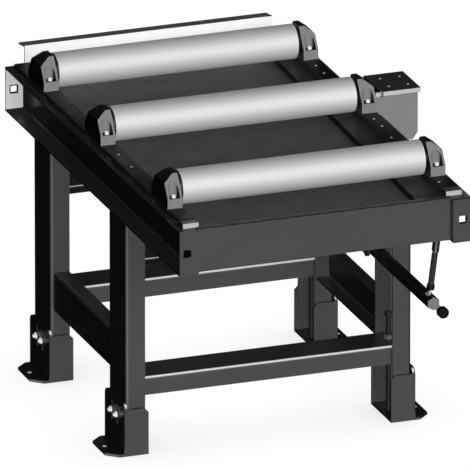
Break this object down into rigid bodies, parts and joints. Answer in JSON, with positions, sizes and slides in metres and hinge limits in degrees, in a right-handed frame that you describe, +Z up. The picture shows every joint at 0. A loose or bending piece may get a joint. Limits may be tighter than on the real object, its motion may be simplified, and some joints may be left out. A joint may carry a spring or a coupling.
{
  "type": "roller stand",
  "caption": "Floor-standing roller table: idle rollers in pedestal brackets over a drip tray, on a channel-steel frame with levelling feet, side console and strut-held lever.",
  "frame": {"origin": "on the floor, midway between the four anchor holes of the feet", "axes": "+X along the rollers to the side with the console and the lever, +Y from the front to the rear of the table, +Z up"},
  "size_m": [0.8264, 1.2093, 0.742],
  "materials": {
    "black_paint": "satin black powder coat",
    "bracket_paint": "satin grey paint",
    "tray_paint": "satin brown-grey paint",
    "strip_paint": "matt black paint",
    "pale_sheet": "bright zinc sheet",
    "roller_steel": "turned and zinc-plated steel, satin",
    "bare_steel": "machined",
    "zinc": "bright zinc plate",
    "black_steel": "blackened steel",
    "strut_black": "gloss black",
    "black_plastic": "moulded"
  },
  "bodies": {
    "frame": {"left_rail": "black_paint", "right_rail": "black_paint", "apron": "black_paint", "left_bracket_bar": "black_paint", "right_bracket_bar": "black_paint", "front_upper_channel": "black_paint", "rear_upper_channel": "black_paint", "front_stretcher": "black_paint", "rear_stretcher": "black_paint", "left_stretcher": "black_paint", "right_stretcher": "black_paint", "lever_hanger": "black_paint", "strut_bracket": "black_paint", "front_left_leg": "black_paint", "front_right_leg": "black_paint", "rear_left_leg": "black_paint", "rear_right_leg": "black_paint", "console": "bracket_paint", "front_left_bracket": "bracket_paint", "front_right_bracket": "bracket_paint", "middle_left_bracket": "bracket_paint", "middle_right_bracket": "bracket_paint", "rear_left_bracket": "bracket_paint", "rear_right_bracket": "bracket_paint", "drip_tray": "tray_paint", "tray_ledge": "tray_paint", "left_cover_strips": "strip_paint", "right_cover_strips": "strip_paint", "rear_plate": "pale_sheet", "lever_pin": "bare_steel", "front_roller_axle": "bare_steel", "middle_roller_axle": "bare_steel", "rear_roller_axle": "bare_steel", "bracket_bolts": "zinc", "foot_bolts": "zinc", "levelling_nuts": "zinc"},
    "front_roller": {"front_roller_tube": "roller_steel", "front_roller_caps": "bare_steel", "front_roller_bearings": "bare_steel"},
    "middle_roller": {"middle_roller_tube": "roller_steel", "middle_roller_caps": "bare_steel", "middle_roller_bearings": "bare_steel"},
    "rear_roller": {"rear_roller_tube": "roller_steel", "rear_roller_caps": "bare_steel", "rear_roller_bearings": "bare_steel"},
    "front_left_foot": {"front_left_foot": "black_paint"},
    "front_left_screw": {"front_left_screw": "black_steel"},
    "front_right_foot": {"front_right_foot": "black_paint"},
    "front_right_screw": {"front_right_screw": "black_steel"},
    "rear_left_foot": {"rear_left_foot": "black_paint"},
    "rear_left_screw": {"rear_left_screw": "black_steel"},
    "rear_right_foot": {"rear_right_foot": "black_paint"},
    "rear_right_screw": {"rear_right_screw": "black_steel"},
    "lever": {"lever_bar": "black_steel", "knob_arm": "black_steel"},
    "knob": {"knob": "black_plastic"},
    "strut_cylinder": {"strut_cylinder": "strut_black"},
    "strut_rod": {"strut_rod": "bare_steel"}
  },
  "joints": [
    {"name": "front_roller_spin", "type": "hinge", "parent": "frame", "child": "front_roller", "pos_m": [0, -0.504, 0.701], "axis": [1, 0, 0], "continuous": true},
    {"name": "middle_roller_spin", "type": "hinge", "parent": "frame", "child": "middle_roller", "pos_m": [0, -0.06, 0.701], "axis": [1, 0, 0], "continuous": true},
    {"name": "rear_roller_spin", "type": "hinge", "parent": "frame", "child": "rear_roller", "pos_m": [0, 0.322, 0.701], "axis": [1, 0, 0], "continuous": true},
    {"name": "front_left_foot_height", "type": "slide", "parent": "frame", "child": "front_left_foot", "axis": [0, 0, 1], "range_m": [-0.02, 0.02]},
    {"name": "front_left_screw_turn", "type": "hinge", "parent": "front_left_foot", "child": "front_left_screw", "pos_m": [-0.3076, -0.253, 0], "axis": [0, 0, 1], "continuous": true},
    {"name": "front_right_foot_height", "type": "slide", "parent": "frame", "child": "front_right_foot", "axis": [0, 0, 1], "range_m": [-0.02, 0.02]},
    {"name": "front_right_screw_turn", "type": "hinge", "parent": "front_right_foot", "child": "front_right_screw", "pos_m": [0.3076, -0.253, 0], "axis": [0, 0, 1], "continuous": true},
    {"name": "rear_left_foot_height", "type": "slide", "parent": "frame", "child": "rear_left_foot", "axis": [0, 0, 1], "range_m": [-0.02, 0.02]},
    {"name": "rear_left_screw_turn", "type": "hinge", "parent": "rear_left_foot", "child": "rear_left_screw", "pos_m": [-0.3076, 0.253, 0], "axis": [0, 0, 1], "continuous": true},
    {"name": "rear_right_foot_height", "type": "slide", "parent": "frame", "child": "rear_right_foot", "axis": [0, 0, 1], "range_m": [-0.02, 0.02]},
    {"name": "rear_right_screw_turn", "type": "hinge", "parent": "rear_right_foot", "child": "rear_right_screw", "pos_m": [0.3076, 0.253, 0], "axis": [0, 0, 1], "continuous": true},
    {"name": "lever_swing", "type": "hinge", "parent": "frame", "child": "lever", "pos_m": [0.263, -0.278, 0.409], "axis": [1, 0, 0], "range_deg": [-1, 6]},
    {"name": "knob_turn", "type": "hinge", "parent": "lever", "child": "knob", "pos_m": [0.2825, -0.663, 0.3885], "axis": [0, 1, 0], "continuous": true},
    {"name": "strut_tilt", "type": "hinge", "parent": "frame", "child": "strut_cylinder", "pos_m": [0.275, -0.655, 0.575], "axis": [1, 0, 0], "range_deg": [-1.16, 0.28]},
    {"name": "strut_stroke", "type": "slide", "parent": "strut_cylinder", "child": "strut_rod", "axis": [-0.0733, 0.1282, -0.989], "range_m": [-0.0066, 0.0376]}
  ],
  "couplings": [
    {"joint": "strut_tilt", "follows": "lever_swing", "ratio": -0.177},
    {"joint": "strut_stroke", "follows": "lever_swing", "m_per_rad": 0.3553}
  ]
}
